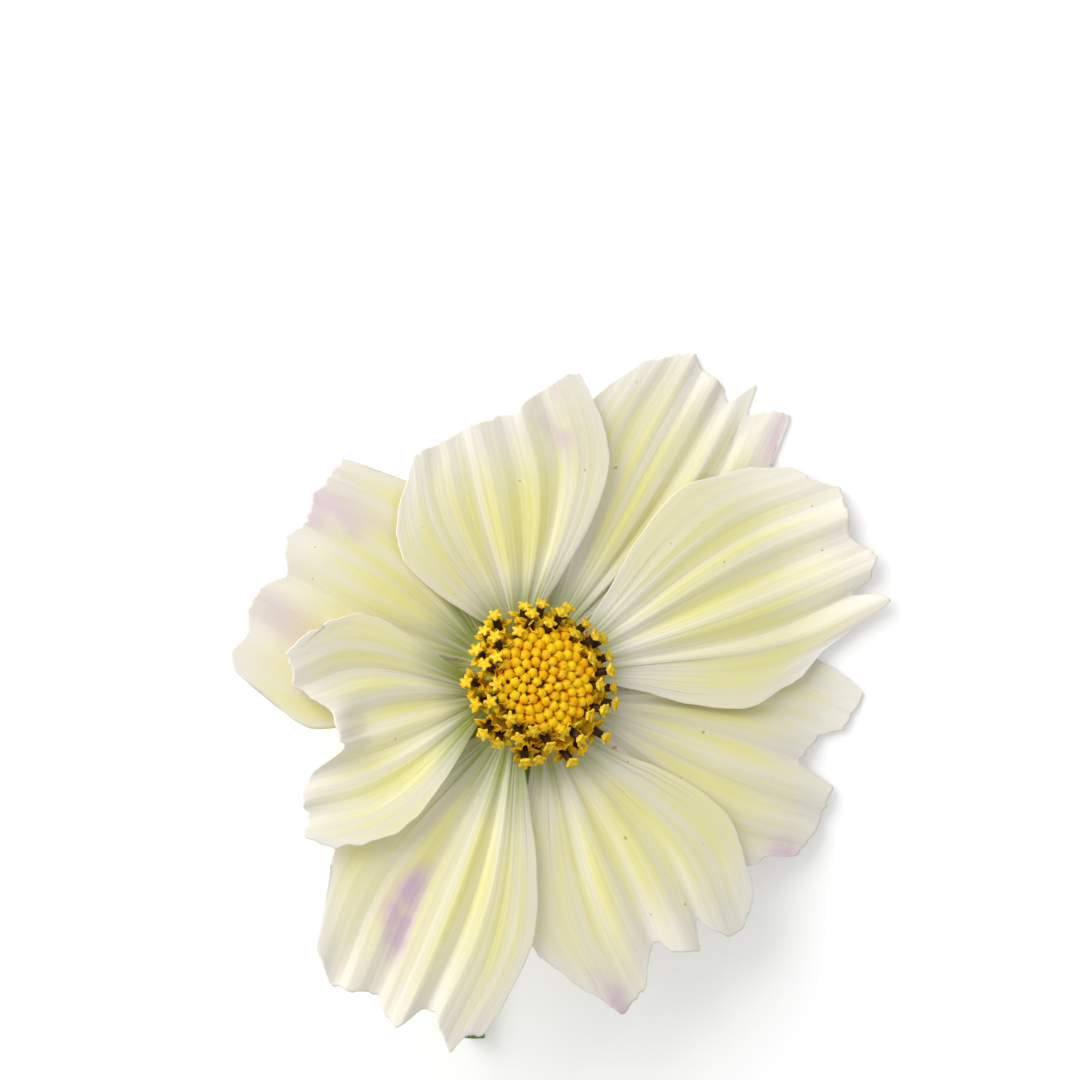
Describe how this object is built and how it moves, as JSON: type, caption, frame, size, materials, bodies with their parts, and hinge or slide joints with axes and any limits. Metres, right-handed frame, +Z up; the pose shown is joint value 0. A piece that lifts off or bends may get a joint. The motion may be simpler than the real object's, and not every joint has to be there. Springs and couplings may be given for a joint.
{
  "type": "cosmos flower",
  "caption": "Cut cosmos flower lying face up: a toothed, folded ray of petals round a floret disc, with bracts and a short bent stalk.",
  "frame": {"origin": "under the middle of the flower's box, on the surface that it lies on", "axes": "+Z up from that surface through the face of the flower; the stalk lies along -Y"},
  "size_m": [0.066, 0.0698, 0.0253],
  "materials": {
    "petal": "soft matt cream petal with yellow streaks and fine veins",
    "disc": "matt orange-yellow florets with dark anthers and pollen",
    "outer_bract": "satin dark green leaf with pale veins",
    "inner_bract": "satin yellow-green, thin at the edges",
    "receptacle": "satin bright green, ribbed",
    "stalk": "satin green, lightly ribbed, paler at the cut"
  },
  "bodies": {
    "root": {"disc_floret_01": "disc", "disc_floret_02": "disc", "disc_floret_03": "disc", "disc_floret_04": "disc", "disc_floret_05": "disc", "disc_floret_06": "disc", "disc_floret_07": "disc", "disc_floret_08": "disc", "disc_floret_09": "disc", "disc_floret_10": "disc", "disc_floret_11": "disc", "disc_floret_12": "disc", "disc_floret_13": "disc", "disc_floret_14": "disc", "disc_floret_15": "disc", "disc_floret_16": "disc", "disc_floret_17": "disc", "disc_floret_18": "disc", "disc_floret_19": "disc", "disc_floret_20": "disc", "floret_buds": "disc", "inner_bract_1": "inner_bract", "inner_bract_2": "inner_bract", "inner_bract_3": "inner_bract", "inner_bract_4": "inner_bract", "inner_bract_5": "inner_bract", "inner_bract_6": "inner_bract", "inner_bract_7": "inner_bract", "inner_bract_8": "inner_bract", "outer_bract_1": "outer_bract", "outer_bract_2": "outer_bract", "outer_bract_3": "outer_bract", "outer_bract_4": "outer_bract", "outer_bract_5": "outer_bract", "outer_bract_6": "outer_bract", "outer_bract_7": "outer_bract", "outer_bract_8": "outer_bract", "petal_1": "petal", "petal_2": "petal", "petal_3": "petal", "petal_4": "petal", "petal_5": "petal", "petal_6": "petal", "petal_7": "petal", "petal_8": "petal", "receptacle": "receptacle", "stalk": "stalk", "young_floret_ring": "disc"}
  },
  "joints": []
}
